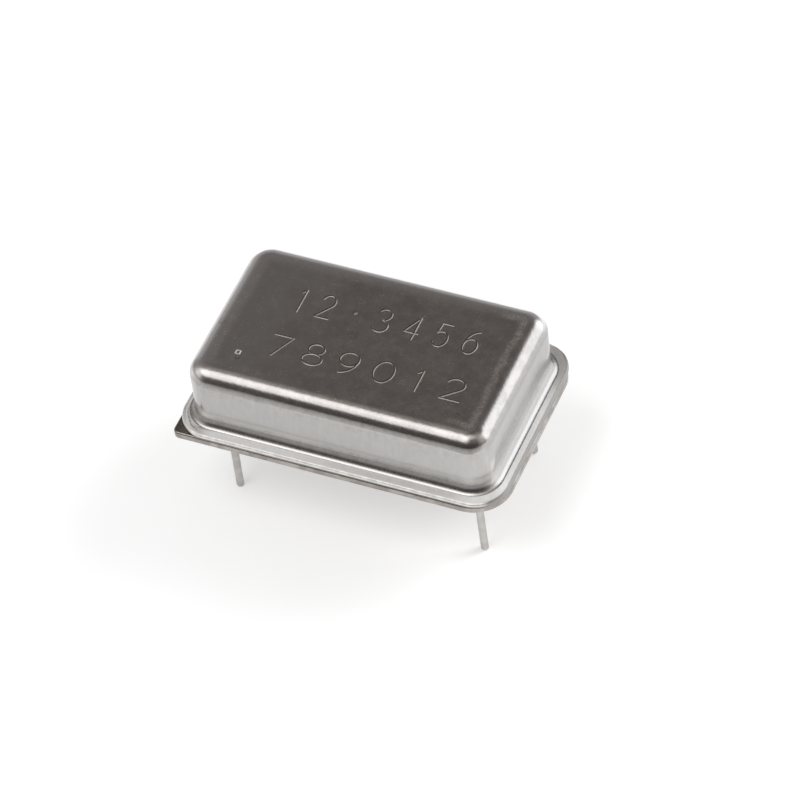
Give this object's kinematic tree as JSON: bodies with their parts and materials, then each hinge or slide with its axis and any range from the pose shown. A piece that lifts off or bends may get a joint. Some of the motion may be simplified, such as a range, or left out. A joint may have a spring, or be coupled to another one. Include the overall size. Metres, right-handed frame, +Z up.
{
  "type": "crystal oscillator",
  "caption": "Metal-can crystal oscillator: drawn rectangular cover with rounded edges and flange on a header with one square corner, standing on thin round lead wires.",
  "frame": {"origin": "centre of the pin pattern on the underside of the header", "axes": "+X along the long side from pin 1 towards pin 7, +Y from pin 1 towards pin 14, +Z up out of the top of the can"},
  "size_m": [0.02, 0.0127, 0.0112],
  "materials": {
    "can_nickel": "satin",
    "header_steel": "satin",
    "pin_metal": "satin",
    "seal_glass": "gloss",
    "braze": "satin",
    "solder": "satin",
    "adhesive": "matte",
    "silver_cement": "matte",
    "alumina": "matte",
    "conductor": "satin",
    "electrode": "gloss",
    "clip_metal": "satin",
    "quartz": "gloss",
    "silicon": "gloss",
    "gold": "gloss",
    "capacitor_ceramic": "matte",
    "capacitor_metal": "satin",
    "resistor_film": "matte"
  },
  "bodies": {
    "root": {"bond_wires": "gold", "capacitor_body": "capacitor_ceramic", "capacitor_end_ground": "capacitor_metal", "capacitor_end_supply": "capacitor_metal", "capacitor_solder_ground": "solder", "capacitor_solder_supply": "solder", "conductor_tracks": "conductor", "cover": "can_nickel", "crystal_blank": "quartz", "die_attach": "adhesive", "feedback_resistor": "resistor_film", "glass_seal_1": "seal_glass", "glass_seal_14": "seal_glass", "glass_seal_8": "seal_glass", "ground_braze": "braze", "header": "header_steel", "left_cement": "silver_cement", "left_clip": "clip_metal", "left_clip_solder": "solder", "lower_electrode": "electrode", "oscillator_die": "silicon", "pin_1": "pin_metal", "pin_14": "pin_metal", "pin_7": "pin_metal", "pin_8": "pin_metal", "pin_solder_1": "solder", "pin_solder_14": "solder", "pin_solder_7": "solder", "pin_solder_8": "solder", "right_cement": "silver_cement", "right_clip": "clip_metal", "right_clip_solder": "solder", "substrate": "alumina", "substrate_adhesive": "adhesive", "upper_electrode": "electrode"}
  },
  "joints": []
}
